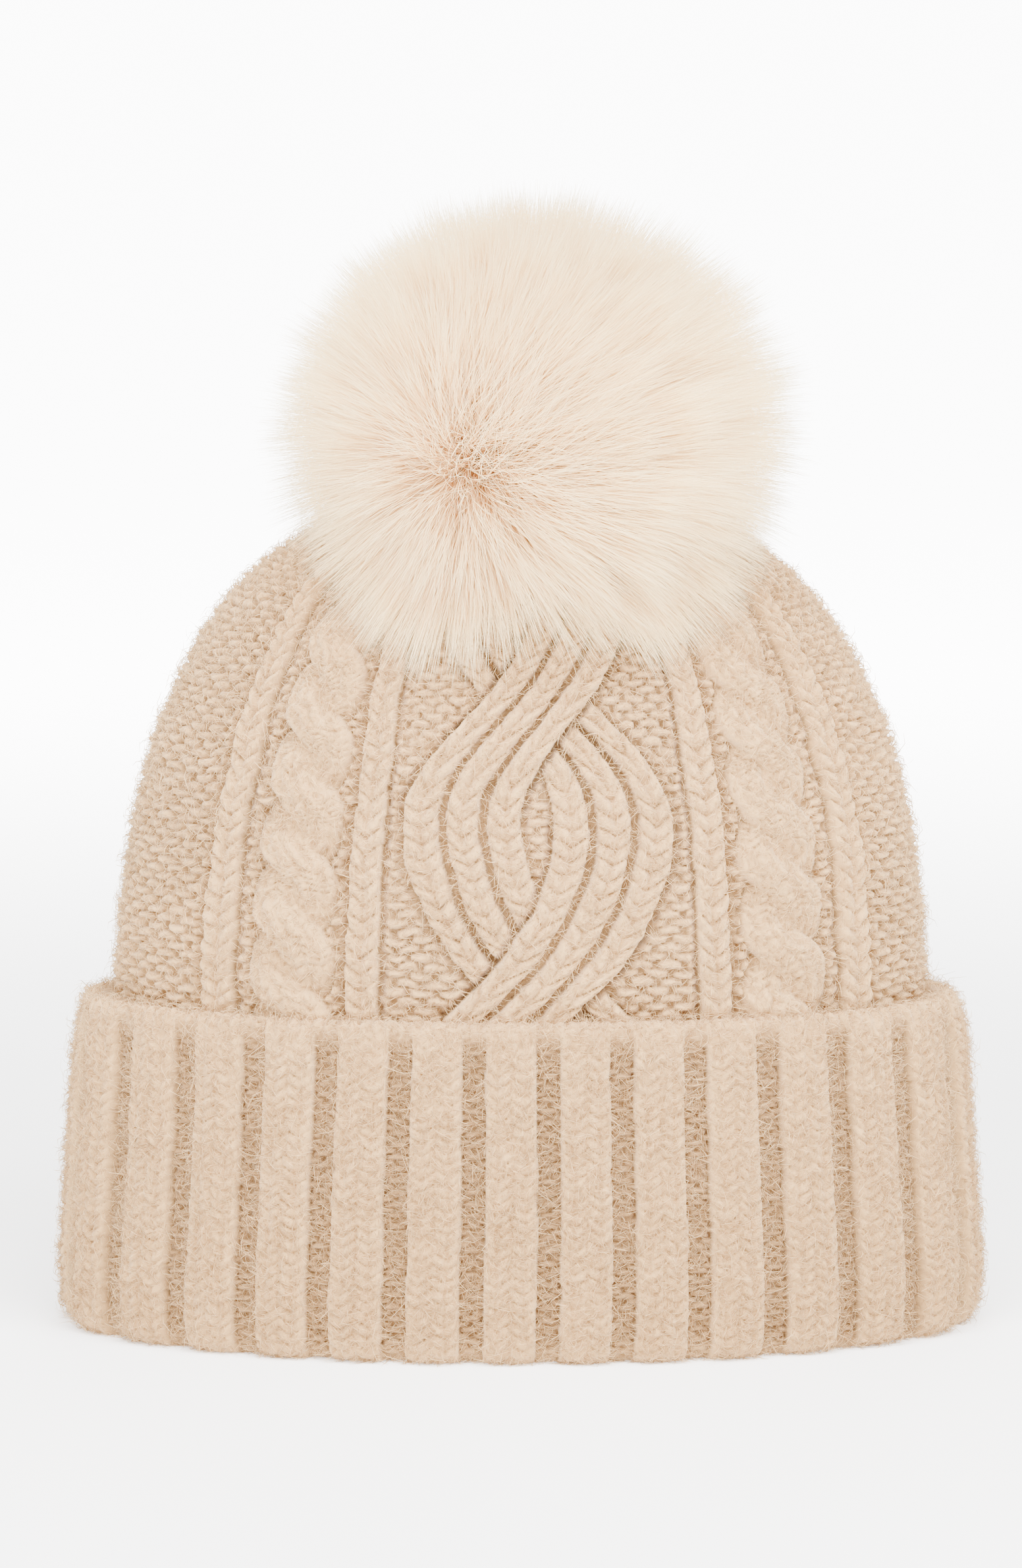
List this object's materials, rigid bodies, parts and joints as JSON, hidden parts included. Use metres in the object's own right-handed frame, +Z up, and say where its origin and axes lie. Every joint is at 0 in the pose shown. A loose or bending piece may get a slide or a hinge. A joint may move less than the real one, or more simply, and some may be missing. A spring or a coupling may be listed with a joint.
{
  "type": "pom pom beanie",
  "caption": "Cable-knit winter hat with a turned-up ribbed cuff and a removable long-pile pom pom on a press stud.",
  "frame": {"origin": "centre of the folded brim, on the surface that the hat stands on", "axes": "+Z up towards the pom pom, +X to the hat's left as worn facing -Y, front towards -Y"},
  "size_m": [0.2384, 0.134, 0.2935],
  "materials": {
    "wool_crown": "brushed cable knit",
    "wool_cuff": "brushed rib knit",
    "wool_band": "rib knit, wrong side",
    "sewing_yarn": "plied yarn",
    "felt": "felted wool",
    "label_satin": "woven satin, blank",
    "stud_metal": "antique nickelled",
    "stud_cap": "matt",
    "fur_pile": "long silky pile",
    "fur_backing": "knitted backing",
    "fibre_fill": "loose polyester fibre"
  },
  "bodies": {
    "hat": {"crown_shell": "wool_crown", "crown_seam": "sewing_yarn", "inner_band": "wool_band", "band_seam": "sewing_yarn", "cuff": "wool_cuff", "care_label": "label_satin"},
    "gather": {"gather_yarn": "sewing_yarn"},
    "socket": {"crown_patch": "felt", "snap_socket": "stud_metal", "socket_cap": "stud_cap"},
    "stud": {"snap_stud": "stud_metal", "stud_cap": "stud_cap"},
    "pom": {"pom_skin": "fur_backing", "pom_stuffing": "fibre_fill", "pom_thread": "sewing_yarn", "pom_fur": "fur_pile"}
  },
  "joints": [
    {"name": "pom_nod", "type": "hinge", "parent": "hat", "child": "gather", "pos_m": [0, 0, 0.2095], "axis": [1, 0, 0], "range_deg": [-8, 8], "stiffness_Nm_per_rad": 0.35},
    {"name": "pom_sway", "type": "hinge", "parent": "gather", "child": "socket", "pos_m": [0, 0, 0.2095], "axis": [0, 1, 0], "range_deg": [-8, 8], "stiffness_Nm_per_rad": 0.35},
    {"name": "pom_pull", "type": "slide", "parent": "socket", "child": "stud", "axis": [0, 0, 1], "range_m": [0, 0.03]},
    {"name": "pom_spin", "type": "hinge", "parent": "stud", "child": "pom", "pos_m": [0, 0, 0.2095], "axis": [0, 0, 1], "continuous": true}
  ]
}
